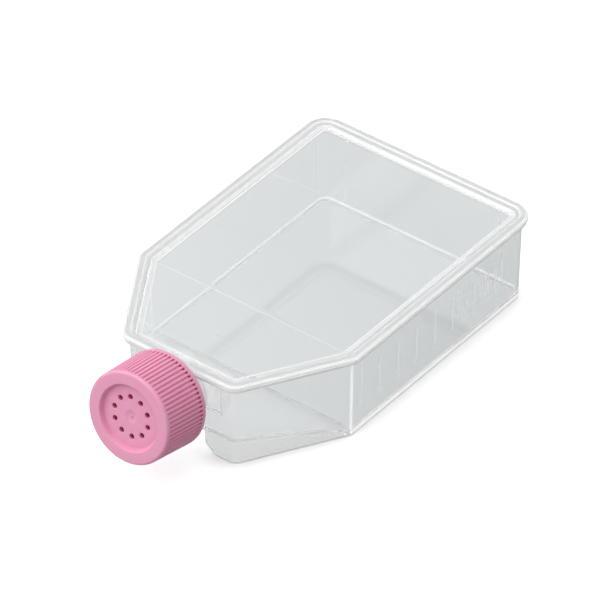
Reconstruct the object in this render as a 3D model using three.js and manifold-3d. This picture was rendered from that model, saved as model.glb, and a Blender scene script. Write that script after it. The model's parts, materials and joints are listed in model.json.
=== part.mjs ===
// Cell culture flask with 75 cm2 of growth surface, lying on that surface.
// Millimetres, +Z up. X is the width and Y the length, with the neck towards -Y.
// The origin is under the middle of the whole flask, on the surface that it rests on.
//
// The flask is drawn in a "flask frame" whose Y zero is the back edge of its flange, so that
// a place d in front of the back edge is y = -d. The neck and the cap are drawn in a "neck
// frame" whose Z runs out along the canted neck and is zero at the front of the flange.

import * as THREE from "three";
import { mergeVertices } from "three/addons/utils/BufferGeometryUtils.js";
import Module from "manifold-3d";

const wasm = await Module();
wasm.setup();

// ---------------------------------------------------------------- driving dimensions

const fitGap = 0.3; // air left between separate pieces that meet

// Outline of the flange and the top plate.
const plan = {
  width: 90,
  length: 135,
  chamferRun: 37, // length taken up by the two slanted sides
  frontWidth: 45.6,
  backRadius: 8,
  shoulderRadius: 3,
  frontRadius: 6,
};

// The moulded lower half: walls, flange and growth surface.
const tub = {
  height: 32, // underside to the top of the flange
  flangeThickness: 0.8,
  wall: 1.4,
  wallInsetTop: 2.2, // flange edge to the outside of the wall, at the top
  wallInsetBottom: 2.9, // the same at the underside: the difference is the draft
  backRadius: 4.8,
  shoulderRadius: 1.2,
  frontRadius: 4,
  footHeight: 0.6, // the growth surface stands this far off the table
  footWidth: 2,
  footEase: 0.4,
  floorThickness: 1.3,
};

// The sloping floor that leads to the neck.
const ramp = {
  overShoulder: 1, // the floor starts to rise this far behind the slanted sides
  belowBore: 3.25, // bottom of the neck bore to the ramp's front edge
  bow: 2.4, // how far the ramp's curve is pulled up at its middle
  thickness: 1.3,
  skirt: 1.3, // wall under the ramp
  frontSkirtWidth: 12, // front skirt kept beside each front corner
  slotRoundWidth: 3.4,
  slotRoundHeight: 3,
};

const frontPocket = { cornerMargin: 4.7, aboveRamp: 9.3, belowFlange: 1.2, depth: 0.6 };
const backPanel = { sideMargin: 10.1, bottom: 2.4, belowFlange: 1.2, depth: 0.4 };

// The plate that closes the flask, with its stacking ridge.
const lid = {
  edgeThickness: 1.35,
  ridgeRise: 0.45,
  ridgeInset: 0.5,
  ridgeWidth: 2.1,
  ease: 0.35,
  panelInset: 4.9,
  panelDrop: 1.3, // ridge top to the sunk panel
  panelThickness: 1.3,
  panelEase: 0.7,
  frontPanelDrop: 0.3, // the panel over the ramp lies this much lower
  creaseBehindShoulder: 1.5,
  gateRadius: 1.5,
  gateHeight: 0.3,
  gateBehindFront: 20.5,
};

const neck = {
  cant: THREE.MathUtils.degToRad(10.4),
  reach: 21.5, // front of the flange to the mouth, along the axis
  boreRadiusRoot: 8.9,
  boreRadiusMouth: 10.9,
  wallRoot: 1.6,
  wallMouth: 1.8,
  taperLength: 6.5,
  mouthRounding: 0.5,
  topWall: 1.55, // wall over the bore where the neck passes under the top plate
  lidWeb: 0.9, // top plate left standing over the neck
};

const thread = {
  lead: 4.2,
  depth: 1.2,
  rootWidth: 2,
  crestWidth: 1,
  neckTurns: 1.25,
  capTurns: 0.75,
  behindMouth: 2.6,
  clearance: 0.4, // between each crest and the wall that faces it
  fadeShare: 0.12, // part of a ridge's length that runs out at each end
  leastFade: 0.1, // share of the ridge's height left at its very ends
  sunk: 0.3, // how far a ridge's foot lies inside its wall
};

const cap = {
  length: 19.5,
  wall: 2,
  flare: 0.5, // the rear rim is this much larger in radius than the front
  edgeRounding: 0.9,
  rearRounding: 0.5,
  topThickness: 1.3,
  rimWidth: 4.6,
  recessDepth: 1.7,
  recessSlope: 1.1,
  sealLip: 0.8, // ring that presses on the mouth
  sealLipWidth: 1.25,
  ribCount: 68,
  grooveDepth: 0.45,
  grooveShare: 0.5, // part of each pitch that is groove
  groovesFromFront: 1.7,
  groovesFromRear: 1.6,
  ventCount: 10,
  ventRadius: 0.95,
  ventsFromMembraneEdge: 3.75,
  ventPhase: THREE.MathUtils.degToRad(-8.5),
  dimpleRadius: 2.4,
  dimpleDepth: 0.4,
  dimpleFloorShare: 0.75, // its depth at half its radius, as a share of the depth at its middle
};

const membrane = { thickness: 0.3, edgeGap: 0.45 };

// Straight steps used to draw round shapes.
const cornerSteps = 6;
const edgeSteps = 3;
const barrelSteps = 60;
const holeSteps = 12;
const threadStepsPerTurn = 32;

// ---------------------------------------------------------------- sizes worked out

const overrun = 1; // how far cutting tools run past what they cut
const samePoint = 1e-4; // points nearer than this are one point

const floorTop = tub.footHeight + tub.floorThickness;
const lidBottom = tub.height + fitGap;
const lidEdgeTop = lidBottom + lid.edgeThickness;
const lidTop = lidEdgeTop + lid.ridgeRise;
const panelTop = lidTop - lid.panelDrop;
const plugInset = tub.wallInsetTop + tub.wall + fitGap;
const shoulderAt = plan.length - plan.chamferRun;

const rampStart = shoulderAt - ramp.overShoulder;
const neckFlatTop = lidTop - neck.lidWeb - fitGap;
const boreRise = neck.boreRadiusRoot / Math.cos(neck.cant);
const axisHeight = neckFlatTop - neck.topWall - boreRise; // at the front of the flange
const rampTop = axisHeight - boreRise - ramp.belowBore;

const barrelRadiusRoot = neck.boreRadiusRoot + neck.wallRoot;
const barrelRadius = neck.boreRadiusMouth + neck.wallMouth;
const capBore = barrelRadius + thread.depth + thread.clearance;
const capRadiusFront = capBore + cap.wall;
const capRadiusRear = capRadiusFront + cap.flare;
const recessRadius = capRadiusFront - cap.rimWidth;
const membraneRadius = neck.boreRadiusMouth + fitGap - membrane.edgeGap;
const sealLipInner = membraneRadius + membrane.edgeGap;
const ventCircle = membraneRadius - cap.ventsFromMembraneEdge;

const capPlateBack = neck.reach + fitGap + cap.sealLip;
const recessFloor = capPlateBack + cap.topThickness;
const capFront = recessFloor + cap.recessDepth;
const capRear = capFront - cap.length;
const membraneFront = capPlateBack - fitGap;

// The lower edge of the cap's front face is the foremost place on the flask.
const faceEdgeRadius = capRadiusFront - cap.edgeRounding;
const capReach = capFront * Math.cos(neck.cant) + faceEdgeRadius * Math.sin(neck.cant);
const overallLength = plan.length + capReach;

// ---------------------------------------------------------------- solids

function toSolid(geometry) {
  const bare = geometry.clone();
  bare.deleteAttribute("normal");
  bare.deleteAttribute("uv");
  const merged = mergeVertices(bare, samePoint);
  const vertProperties = new Float32Array(merged.attributes.position.array);
  const triVerts = new Uint32Array(merged.index.array);
  return new wasm.Manifold(new wasm.Mesh({ numProp: 3, vertProperties, triVerts }));
}

function toGeometry(solid) {
  const { vertProperties, triVerts } = solid.getMesh();
  const geometry = new THREE.BufferGeometry();
  geometry.setAttribute("position", new THREE.BufferAttribute(vertProperties, 3));
  geometry.setIndex(new THREE.BufferAttribute(triVerts, 1));
  geometry.computeVertexNormals();
  return geometry;
}

// A closed outline from corners { x, y, radius } in order, each rounded by an arc.
function roundedOutline(corners) {
  const shape = new THREE.Shape();
  corners.forEach((corner, i) => {
    const here = new THREE.Vector2(corner.x, corner.y);
    const before = corners[(i + corners.length - 1) % corners.length];
    const after = corners[(i + 1) % corners.length];
    const back = new THREE.Vector2(before.x, before.y).sub(here).normalize();
    const ahead = new THREE.Vector2(after.x, after.y).sub(here).normalize();
    const halfAngle = Math.acos(back.dot(ahead)) / 2;
    const tangent = corner.radius / Math.tan(halfAngle);
    const start = here.clone().addScaledVector(back, tangent);
    const end = here.clone().addScaledVector(ahead, tangent);
    const inward = back.clone().add(ahead).normalize();
    const centre = here.clone().addScaledVector(inward, corner.radius / Math.sin(halfAngle));
    const startAngle = start.clone().sub(centre).angle();
    const endAngle = end.clone().sub(centre).angle();
    if (i === 0) {
      shape.moveTo(start.x, start.y);
    }
    shape.absarc(centre.x, centre.y, corner.radius, startAngle, endAngle, false);
  });
  shape.closePath();
  return shape;
}

// The flask's six-sided plan with every side moved in by the same amount.
// Its corner radii shrink with it, as they do through a wall of even thickness.
function planOutline(inset, radii = plan, radiusLoss = inset) {
  const half = plan.width / 2 - inset;
  const front = plan.length - inset;
  const rise = (plan.width - plan.frontWidth) / 2;
  const slant = Math.hypot(plan.chamferRun, rise);
  const shoulder = shoulderAt - (inset * (slant - plan.chamferRun)) / rise;
  const frontHalf = plan.frontWidth / 2 - (inset * (slant - rise)) / plan.chamferRun;
  const leastRadius = 0.4;
  const shrink = (radius) => Math.max(leastRadius, radius - radiusLoss);
  const back = shrink(radii.backRadius);
  const side = shrink(radii.shoulderRadius);
  const nose = shrink(radii.frontRadius);
  return roundedOutline([
    { x: half, y: -inset, radius: back },
    { x: -half, y: -inset, radius: back },
    { x: -half, y: -shoulder, radius: side },
    { x: -frontHalf, y: -front, radius: nose },
    { x: frontHalf, y: -front, radius: nose },
    { x: half, y: -shoulder, radius: side },
  ]);
}

// A block whose sides lean from one outline at the bottom to a like one at the top.
function draftedBlock(lowerOutline, upperOutline, bottom, top) {
  const options = { depth: top - bottom, bevelEnabled: false, curveSegments: cornerSteps };
  const geometry = new THREE.ExtrudeGeometry(lowerOutline, options).translate(0, 0, bottom);
  const lower = lowerOutline.getPoints(cornerSteps);
  const upper = upperOutline.getPoints(cornerSteps);
  const position = geometry.attributes.position;
  const middle = (bottom + top) / 2;
  for (let i = 0; i < position.count; i += 1) {
    if (position.getZ(i) > middle) {
      const here = new THREE.Vector2(position.getX(i), position.getY(i));
      const match = lower.findIndex((point) => point.distanceTo(here) < samePoint);
      position.setXY(i, upper[match].x, upper[match].y);
    }
  }
  return toSolid(geometry);
}

function plate(inset, bottom, top) {
  return draftedBlock(planOutline(inset), planOutline(inset), bottom, top);
}

// A plate whose top edge is eased by a small slope.
function easedPlate(inset, bottom, top, ease) {
  const slope = draftedBlock(planOutline(inset), planOutline(inset + ease), top - ease, top);
  return plate(inset, bottom, top - ease).add(slope);
}

// A profile drawn in the YZ plane and extruded evenly to both sides along X.
function crossBar(profile, halfWidth) {
  const options = { depth: 2 * halfWidth, bevelEnabled: false, curveSegments: 2 * cornerSteps };
  const geometry = new THREE.ExtrudeGeometry(profile, options).translate(0, 0, -halfWidth);
  const xAxis = new THREE.Vector3(1, 0, 0);
  const yAxis = new THREE.Vector3(0, 1, 0);
  const zAxis = new THREE.Vector3(0, 0, 1);
  return toSolid(geometry.applyMatrix4(new THREE.Matrix4().makeBasis(yAxis, zAxis, xAxis)));
}

function block(low, high) {
  const size = high.map((value, i) => value - low[i]);
  const middle = high.map((value, i) => (value + low[i]) / 2);
  return toSolid(new THREE.BoxGeometry(...size).translate(...middle));
}

// A turned solid about the neck frame's Z, from pairs of radius and height.
function turned(profile, steps = barrelSteps) {
  const points = profile.map(([radius, height]) => new THREE.Vector2(radius, height));
  return toSolid(new THREE.LatheGeometry(points, steps).rotateX(Math.PI / 2));
}

// Radius and height pairs along a quarter circle, from the side of a turned piece to its end.
function roundedEdge(radius, end, rounding, direction) {
  const pairs = [];
  for (let i = 0; i <= edgeSteps; i += 1) {
    const angle = (i / edgeSteps) * (Math.PI / 2);
    const inward = rounding * (1 - Math.cos(angle));
    const short = rounding * (1 - Math.sin(angle));
    pairs.push([radius - inward, end - direction * short]);
  }
  return pairs;
}

function fromNeckFrame(solid) {
  const matrix = new THREE.Matrix4().makeRotationX(Math.PI / 2 - neck.cant);
  matrix.setPosition(0, -plan.length, axisHeight);
  return toSolid(toGeometry(solid).applyMatrix4(matrix));
}

// A right-handed ridge: a straight bar bent round the neck's axis. It starts near the mouth
// at the given height and winds back from there, and its two ends run out into the wall.
function threadRidge(wallRadius, crestRadius, startHeight, turns) {
  const outward = Math.sign(crestRadius - wallRadius);
  const foot = wallRadius - outward * thread.sunk;
  const section = new THREE.Shape();
  section.moveTo(foot, -thread.rootWidth / 2);
  section.lineTo(crestRadius, -thread.crestWidth / 2);
  section.lineTo(crestRadius, thread.crestWidth / 2);
  section.lineTo(foot, thread.rootWidth / 2);
  section.closePath();
  const steps = Math.round(turns * threadStepsPerTurn);
  const bar = new THREE.ExtrudeGeometry(section, { depth: 1, steps, bevelEnabled: false });
  const position = bar.attributes.position;
  for (let i = 0; i < position.count; i += 1) {
    const along = position.getZ(i);
    const nearestEnd = Math.min(along, 1 - along);
    const fade = THREE.MathUtils.clamp(nearestEnd / thread.fadeShare, thread.leastFade, 1);
    const radius = foot + (position.getX(i) - foot) * fade;
    const angle = -along * turns * 2 * Math.PI;
    const height = startHeight + position.getY(i) - along * turns * thread.lead;
    position.setXYZ(i, radius * Math.cos(angle), radius * Math.sin(angle), height);
  }
  return toSolid(bar);
}

// ---------------------------------------------------------------- flask body

// Adds the bowed line of the ramp to a YZ profile, lowered by the given drop.
function addRampCurve(shape, drop) {
  const front = plan.length - tub.wallInsetTop;
  const startZ = floorTop - drop;
  const frontZ = rampTop - drop;
  const middleZ = (startZ + frontZ) / 2 + ramp.bow;
  shape.lineTo(-rampStart, startZ);
  shape.quadraticCurveTo(-(rampStart + front) / 2, middleZ, -front, frontZ);
}

function spaceAboveFloor() {
  const profile = new THREE.Shape();
  profile.moveTo(overrun, tub.height + overrun);
  profile.lineTo(overrun, floorTop);
  addRampCurve(profile, 0);
  profile.lineTo(-plan.length - overrun, rampTop);
  profile.lineTo(-plan.length - overrun, tub.height + overrun);
  profile.closePath();
  return crossBar(profile, plan.width);
}

function spaceUnderRamp() {
  const profile = new THREE.Shape();
  profile.moveTo(-rampStart, -overrun);
  addRampCurve(profile, ramp.thickness);
  profile.lineTo(-plan.length - overrun, rampTop - ramp.thickness);
  profile.lineTo(-plan.length - overrun, -overrun);
  profile.closePath();
  return crossBar(profile, plan.width);
}

// The leaning wall, or a surface parallel to it further in.
function wallBlock(inward, bottom, top) {
  const lower = planOutline(tub.wallInsetBottom + inward, tub, inward);
  const upper = planOutline(tub.wallInsetTop + inward, tub, inward);
  return draftedBlock(lower, upper, bottom, top);
}

function makeShell() {
  const ease = tub.footEase;
  const foot = draftedBlock(
    planOutline(tub.wallInsetBottom + ease, tub, ease),
    planOutline(tub.wallInsetBottom, tub, 0),
    0,
    ease,
  );
  const flange = plate(fitGap, tub.height - tub.flangeThickness, tub.height);
  return wallBlock(0, ease, tub.height)
    .add(foot)
    .add(flange)
    .subtract(makeFrontPocket())
    .subtract(makeBackPanel());
}

function makeChamber() {
  return wallBlock(tub.wall, 0, tub.height + overrun).intersect(spaceAboveFloor());
}

// The shallow hollow under the growth surface leaves a foot all round.
function makeFootRecess() {
  const front = -rampStart + tub.footWidth;
  const behindRamp = block(
    [-plan.width, front, -2 * overrun],
    [plan.width, 0, tub.footHeight + overrun],
  );
  return wallBlock(tub.footWidth, -overrun, tub.footHeight).intersect(behindRamp);
}

function makeRampRecess() {
  return wallBlock(ramp.skirt, -overrun, rampTop).intersect(spaceUnderRamp());
}

// The front skirt stands only beside the two front corners.
function makeSkirtSlot() {
  const rise = (plan.width - plan.frontWidth) / 2;
  const slant = Math.hypot(plan.chamferRun, rise);
  const cornerShift = (tub.wallInsetBottom * (slant - rise)) / plan.chamferRun;
  const half = plan.frontWidth / 2 - cornerShift - ramp.frontSkirtWidth;
  const wide = half + ramp.slotRoundWidth;
  const top = rampTop - ramp.thickness;
  const slot = new THREE.Shape();
  slot.moveTo(-wide, -overrun);
  slot.lineTo(wide, -overrun);
  slot.lineTo(wide, 0);
  slot.quadraticCurveTo(half, 0, half, ramp.slotRoundHeight);
  slot.lineTo(half, top);
  slot.lineTo(-half, top);
  slot.lineTo(-half, ramp.slotRoundHeight);
  slot.quadraticCurveTo(-half, 0, -wide, 0);
  slot.closePath();
  const depth = tub.wallInsetBottom + ramp.skirt + 2 * overrun;
  const options = { depth, bevelEnabled: false, curveSegments: cornerSteps };
  const geometry = new THREE.ExtrudeGeometry(slot, options).rotateX(Math.PI / 2);
  return toSolid(geometry.translate(0, -plan.length - overrun + depth, 0));
}

function makeFrontPocket() {
  const half = plan.frontWidth / 2 - tub.wallInsetTop - frontPocket.cornerMargin;
  const wallFront = -plan.length + tub.wallInsetTop;
  const top = tub.height - tub.flangeThickness - frontPocket.belowFlange;
  return block(
    [-half, wallFront - overrun, rampTop + frontPocket.aboveRamp],
    [half, wallFront + frontPocket.depth, top],
  );
}

function makeBackPanel() {
  const half = plan.width / 2 - tub.wallInsetBottom - backPanel.sideMargin;
  const wallBack = -tub.wallInsetBottom;
  const top = tub.height - tub.flangeThickness - backPanel.belowFlange;
  return block([-half, wallBack - backPanel.depth, backPanel.bottom], [half, overrun, top]);
}

// The barrel starts inside the front wall and widens to the part that carries the thread.
function makeBarrel(margin) {
  const root = -tub.wallInsetTop - tub.wall;
  return turned([
    [0, root],
    [barrelRadiusRoot + margin, root],
    [barrelRadiusRoot + margin, 0],
    [barrelRadius + margin, neck.taperLength],
    ...roundedEdge(barrelRadius + margin, neck.reach, neck.mouthRounding, 1),
    [0, neck.reach],
  ]);
}

function makeThreadedNeck() {
  const threadStart = neck.reach - thread.behindMouth;
  const crest = barrelRadius + thread.depth;
  const ridge = threadRidge(barrelRadius, crest, threadStart, thread.neckTurns);
  const underLid = block(
    [-plan.width, -plan.length - fitGap, neckFlatTop],
    [plan.width, 0, 2 * lidTop],
  );
  const insideWall = -plan.length + tub.wallInsetBottom + tub.wall / 2;
  const behindWall = block([-plan.width, insideWall, 0], [plan.width, 0, 2 * lidTop]);
  return fromNeckFrame(makeBarrel(0).add(ridge)).subtract(underLid).subtract(behindWall);
}

function makeNeckBore() {
  const inside = -tub.wallInsetBottom - tub.wall - 2 * overrun;
  const rounding = neck.mouthRounding;
  const bore = turned([
    [0, inside],
    [neck.boreRadiusRoot, inside],
    [neck.boreRadiusRoot, 0],
    [neck.boreRadiusMouth, neck.reach - rounding],
    [neck.boreRadiusMouth + rounding, neck.reach],
    [neck.boreRadiusMouth + rounding, neck.reach + overrun],
    [0, neck.reach + overrun],
  ]);
  return fromNeckFrame(bore);
}

function makeFlaskBody() {
  return makeShell()
    .add(makeThreadedNeck())
    .subtract(makeChamber())
    .subtract(makeFootRecess())
    .subtract(makeRampRecess())
    .subtract(makeSkirtSlot())
    .subtract(makeNeckBore());
}

// ---------------------------------------------------------------- top plate

// The sunk panel's floor is narrower than its mouth, so its sides slope.
function makePanelRecess(depth) {
  const bottom = panelTop - depth;
  const lower = planOutline(lid.panelInset + lid.panelEase);
  return draftedBlock(lower, planOutline(lid.panelInset), bottom, lidTop + overrun);
}

function makeTopPlate() {
  const ridgeInner = lid.ridgeInset + lid.ridgeWidth;
  const edge = easedPlate(0, lidBottom, lidEdgeTop, lid.ease);
  const ridge = easedPlate(lid.ridgeInset, lidBottom, lidTop, lid.ease);
  const insideRidge = draftedBlock(
    planOutline(ridgeInner + lid.ease),
    planOutline(ridgeInner - lid.ease),
    lidEdgeTop,
    lidTop + lid.ease,
  );
  const plug = plate(plugInset, panelTop - lid.panelThickness, panelTop);
  const creaseAt = shoulderAt - lid.creaseBehindShoulder;
  const overRamp = block([-plan.width, -plan.length, 0], [plan.width, -creaseAt, 2 * lidTop]);
  return edge
    .add(ridge)
    .subtract(insideRidge)
    .add(plug)
    .subtract(makePanelRecess(0))
    .subtract(makePanelRecess(lid.frontPanelDrop).intersect(overRamp))
    .add(makeGateMark())
    .subtract(makeNeckRelief());
}

// The small raised disc where the plate was gated.
function makeGateMark() {
  const { gateRadius, gateHeight, gateBehindFront, frontPanelDrop } = lid;
  const disc = new THREE.CylinderGeometry(gateRadius, gateRadius, 2 * gateHeight, holeSteps);
  disc.rotateX(Math.PI / 2);
  return toSolid(disc.translate(0, -plan.length + gateBehindFront, panelTop - frontPanelDrop));
}

// The plate is thinned from below where the neck rises into its front edge.
function makeNeckRelief() {
  const belowWeb = block(
    [-plan.width, -2 * plan.length, 0],
    [plan.width, 0, lidTop - neck.lidWeb],
  );
  return fromNeckFrame(makeBarrel(fitGap)).intersect(belowWeb);
}

// ---------------------------------------------------------------- cap

function makeCapOutside() {
  const { edgeRounding, rearRounding, recessSlope, ribCount } = cap;
  const profile = [
    [0, capRear],
    ...roundedEdge(capRadiusRear, capRear, rearRounding, -1).reverse(),
    ...roundedEdge(capRadiusFront, capFront, edgeRounding, 1),
    [recessRadius, capFront],
    [recessRadius - recessSlope, recessFloor],
    [0, recessFloor],
  ];
  return turned(profile, ribCount);
}

// The bore stops at the cap's end wall, except for the lip that seals on the mouth.
function makeCapBore() {
  const lipBack = capPlateBack - cap.sealLip;
  const lipOuter = sealLipInner + cap.sealLipWidth;
  return turned([
    [0, capRear - overrun],
    [capBore, capRear - overrun],
    [capBore, capPlateBack],
    [lipOuter, capPlateBack],
    [lipOuter, lipBack],
    [sealLipInner, lipBack],
    [sealLipInner, capPlateBack],
    [0, capPlateBack],
  ]);
}

function makeCapShell() {
  const crest = barrelRadius + thread.clearance;
  // Half a lead behind the neck's own ridge, so that each ridge lies between the other's turns.
  const start = neck.reach - thread.behindMouth - thread.lead / 2;
  const ridge = threadRidge(capBore, crest, start, thread.capTurns);
  const shell = makeCapOutside().subtract(makeCapBore()).add(ridge);
  const cuts = [makeDimple(), ...makeGrooves(), ...makeVents()];
  return cuts.reduce((solid, cut) => solid.subtract(cut), shell);
}

// Grooves between the grip ribs, closed at both ends.
function makeGrooves() {
  const pitch = (2 * Math.PI) / cap.ribCount;
  const start = capRear + cap.groovesFromRear;
  const end = capFront - cap.groovesFromFront;
  const outer = capRadiusRear + overrun;
  const floor = capRadiusFront - cap.grooveDepth;
  const halfMouth = capRadiusFront * Math.tan((pitch * cap.grooveShare) / 2);
  const halfFloor = halfMouth - cap.grooveDepth / 2;
  const section = new THREE.Shape();
  section.moveTo(floor, -halfFloor);
  section.lineTo(outer, -halfMouth);
  section.lineTo(outer, halfMouth);
  section.lineTo(floor, halfFloor);
  section.closePath();
  const groove = new THREE.ExtrudeGeometry(section, { depth: end - start, bevelEnabled: false });
  groove.translate(0, 0, start);
  const grooves = [];
  for (let i = 0; i < cap.ribCount; i += 1) {
    grooves.push(toSolid(groove.clone().rotateZ(i * pitch)));
  }
  return grooves;
}

function makeVents() {
  const depth = 2 * (cap.topThickness + overrun);
  const vents = [];
  for (let i = 0; i < cap.ventCount; i += 1) {
    const angle = cap.ventPhase + (i * 2 * Math.PI) / cap.ventCount;
    const hole = new THREE.CylinderGeometry(cap.ventRadius, cap.ventRadius, depth, holeSteps);
    const x = ventCircle * Math.cos(angle);
    const y = ventCircle * Math.sin(angle);
    vents.push(toSolid(hole.rotateX(Math.PI / 2).translate(x, y, capPlateBack)));
  }
  return vents;
}

function makeDimple() {
  const { dimpleRadius, dimpleDepth, dimpleFloorShare } = cap;
  return turned(
    [
      [0, recessFloor - dimpleDepth],
      [dimpleRadius / 2, recessFloor - dimpleFloorShare * dimpleDepth],
      [dimpleRadius, recessFloor],
      [dimpleRadius, recessFloor + overrun],
      [0, recessFloor + overrun],
    ],
    2 * holeSteps,
  );
}

// The water-repelling filter disc that lets air through the vents.
function makeMembrane() {
  return turned([
    [0, membraneFront - membrane.thickness],
    [membraneRadius, membraneFront - membrane.thickness],
    [membraneRadius, membraneFront],
    [0, membraneFront],
  ]);
}

// ---------------------------------------------------------------- assembly

const clearStyrene = { color: 0xe6eceb, roughness: 0.05, metalness: 0 };
const pinkPolyethylene = { color: 0xe290b3, roughness: 0.45, metalness: 0 };
const filterFilm = { color: 0xf4f3ee, roughness: 0.9, metalness: 0 };

function makeMesh(name, solid, look) {
  const mesh = new THREE.Mesh(toGeometry(solid), new THREE.MeshStandardMaterial(look));
  mesh.name = name;
  return mesh;
}

function assemble() {
  const closure = new THREE.Group();
  closure.position.set(0, -plan.length, axisHeight);
  closure.rotation.x = Math.PI / 2 - neck.cant;
  closure.add(makeMesh("vent_cap", makeCapShell(), pinkPolyethylene));
  closure.add(makeMesh("vent_membrane", makeMembrane(), filterFilm));

  const flask = new THREE.Group();
  flask.position.y = overallLength / 2;
  flask.add(makeMesh("flask_body", makeFlaskBody(), clearStyrene));
  flask.add(makeMesh("top_plate", makeTopPlate(), clearStyrene));
  flask.add(closure);
  return flask;
}

export default assemble();
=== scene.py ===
"""Looks of a cell culture flask: clear polystyrene body and top plate, pink ribbed vent cap.

Shapes are drawn in millimetres and turned into metres when an object is made.
The "flask frame" has its Y zero at the back edge of the flange, so a place d in front of the
back edge is y = -d. The "neck frame" runs out along the canted neck from the flange's front.
"""
import json
import math

import bmesh
import bpy
import numpy as np
from mathutils import Matrix, Vector


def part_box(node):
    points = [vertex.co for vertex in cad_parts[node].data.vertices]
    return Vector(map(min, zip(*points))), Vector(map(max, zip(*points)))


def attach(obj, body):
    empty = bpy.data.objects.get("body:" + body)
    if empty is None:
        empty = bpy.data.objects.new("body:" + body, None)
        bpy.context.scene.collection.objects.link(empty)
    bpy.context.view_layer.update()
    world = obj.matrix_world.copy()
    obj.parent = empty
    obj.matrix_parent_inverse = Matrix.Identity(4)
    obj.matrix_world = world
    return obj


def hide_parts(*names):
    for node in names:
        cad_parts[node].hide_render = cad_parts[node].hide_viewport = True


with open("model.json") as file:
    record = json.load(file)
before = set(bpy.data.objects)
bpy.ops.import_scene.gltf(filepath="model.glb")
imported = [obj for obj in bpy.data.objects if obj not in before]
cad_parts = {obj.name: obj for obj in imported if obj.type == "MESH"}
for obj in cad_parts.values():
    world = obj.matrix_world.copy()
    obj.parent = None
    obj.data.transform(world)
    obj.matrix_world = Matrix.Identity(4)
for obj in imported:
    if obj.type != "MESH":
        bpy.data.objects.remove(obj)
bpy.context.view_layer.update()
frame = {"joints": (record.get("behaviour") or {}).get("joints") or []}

MM = 0.001
FIT_GAP = 0.12  # air drawn between separate pieces that meet

# ------------------------------------------------------------------ sizes, in millimetres

PLATE_LOW, PLATE_HIGH = (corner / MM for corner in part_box("top_plate"))
WIDTH = PLATE_HIGH.x - PLATE_LOW.x
LENGTH = PLATE_HIGH.y - PLATE_LOW.y
BACK_Y = PLATE_HIGH.y
LID_TOP = PLATE_HIGH.z

CHAMFER_RUN = 37.0
FRONT_WIDTH = 45.6
SHOULDER = LENGTH - CHAMFER_RUN
PLAN_RADII = (8.0, 3.0, 6.0)  # back, shoulder and front corners of the flange

WALL_HEIGHT = 32.0
FLANGE_THICKNESS = 0.8
WALL = 1.4
WALL_INSET_TOP = 2.2
WALL_INSET_BOTTOM = 2.9
WALL_RADII = (4.8, 2.2, 4.0)
FOOT_HEIGHT = 0.6
FOOT_WIDTH = 2.0
FOOT_BAND = 2.1  # height of the band round the floor's edge, which stands a little proud
WALL_STEP = 0.08
FLOOR_TOP = 1.9

RAMP_START = SHOULDER - 1.0
RAMP_TOP = 10.0
RAMP_BOW = 2.4
RAMP_THICKNESS = 1.3
SKIRT = 1.3
SLOT_HALF = 9.2

# ------------------------------------------------------------------ section and outline tools


HARDLY_A_CORNER = math.radians(89.5)  # half the angle between the two sides of a corner
LONGEST_TANGENT = 0.49  # share of a side that the rounding of one corner may take


def rounded_path(points, steps=5):
    """A polyline of (a, b, radius) corners with each inner corner rounded by an arc."""
    path = [np.array(points[0][:2], float)]
    for before, here, after in zip(points, points[1:], points[2:]):
        corner = np.array(here[:2], float)
        radius = here[2] if len(here) > 2 else 0.0
        back = np.array(before[:2], float) - corner
        ahead = np.array(after[:2], float) - corner
        back_length, ahead_length = np.linalg.norm(back), np.linalg.norm(ahead)
        back, ahead = back / back_length, ahead / ahead_length
        half = math.acos(np.clip(back @ ahead, -1, 1)) / 2
        if radius <= 0 or half > HARDLY_A_CORNER:
            path.append(corner)
            continue
        longest = LONGEST_TANGENT * min(back_length, ahead_length)
        tangent = min(radius / math.tan(half), longest)
        radius = tangent * math.tan(half)
        inward = (back + ahead) / np.linalg.norm(back + ahead)
        centre = corner + inward * radius / math.sin(half)
        start = corner + back * tangent - centre
        end = corner + ahead * tangent - centre
        turn = math.pi - 2 * half
        if start[0] * end[1] < start[1] * end[0]:
            turn = -turn
        for i in range(steps + 1):
            angle = turn * i / steps
            cos, sin = math.cos(angle), math.sin(angle)
            path.append(
                centre + np.array([start[0] * cos - start[1] * sin, start[0] * sin + start[1] * cos])
            )
    path.append(np.array(points[-1][:2], float))
    return np.array(path)


def half_path(corners, y_lines=()):
    """Right half of a left-right alike outline, from its back edge to its front edge.

    Each corner is (x, y, radius). A point is added wherever the path crosses a y line.
    """
    first, last = corners[0], corners[-1]
    points = [(0, first[1])] + list(corners) + [(0, last[1])]
    path = [tuple(p) for p in rounded_path(points, steps=10)[1:-1]]
    for line in y_lines:
        for i in range(len(path) - 1):
            (x0, y0), (x1, y1) = path[i], path[i + 1]
            if y0 >= line > y1:
                share = (y0 - line) / (y0 - y1)
                path.insert(i + 1, (x0 + share * (x1 - x0), line))
                break
    return np.array(path)


def whole(half):
    """Adds the left half, so that point i mirrors point -1 - i."""
    left = half[::-1] * np.array([-1, 1])
    return np.vstack([half, left])


RISE = (WIDTH - FRONT_WIDTH) / 2
SLANT = math.hypot(CHAMFER_RUN, RISE)


def plan_corners(inset, radii, loss):
    """Right-hand corners of the flask's outline, moved inwards, their radii cut by the loss."""
    half = WIDTH / 2 - inset
    shoulder = SHOULDER - inset * (SLANT - CHAMFER_RUN) / RISE
    front_half = FRONT_WIDTH / 2 - inset * (SLANT - RISE) / CHAMFER_RUN
    back, side, nose = (max(0.4, radius - loss) for radius in radii)
    return [
        (half, -inset, back),
        (half, -shoulder, side),
        (front_half, -LENGTH + inset, nose),
    ]


def plan_ring(inset, z, y_lines=()):
    """A level ring parallel to the flange's edge."""
    outline = whole(half_path(plan_corners(inset, PLAN_RADII, inset), y_lines))
    return np.column_stack([outline, np.full(len(outline), z)])


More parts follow.
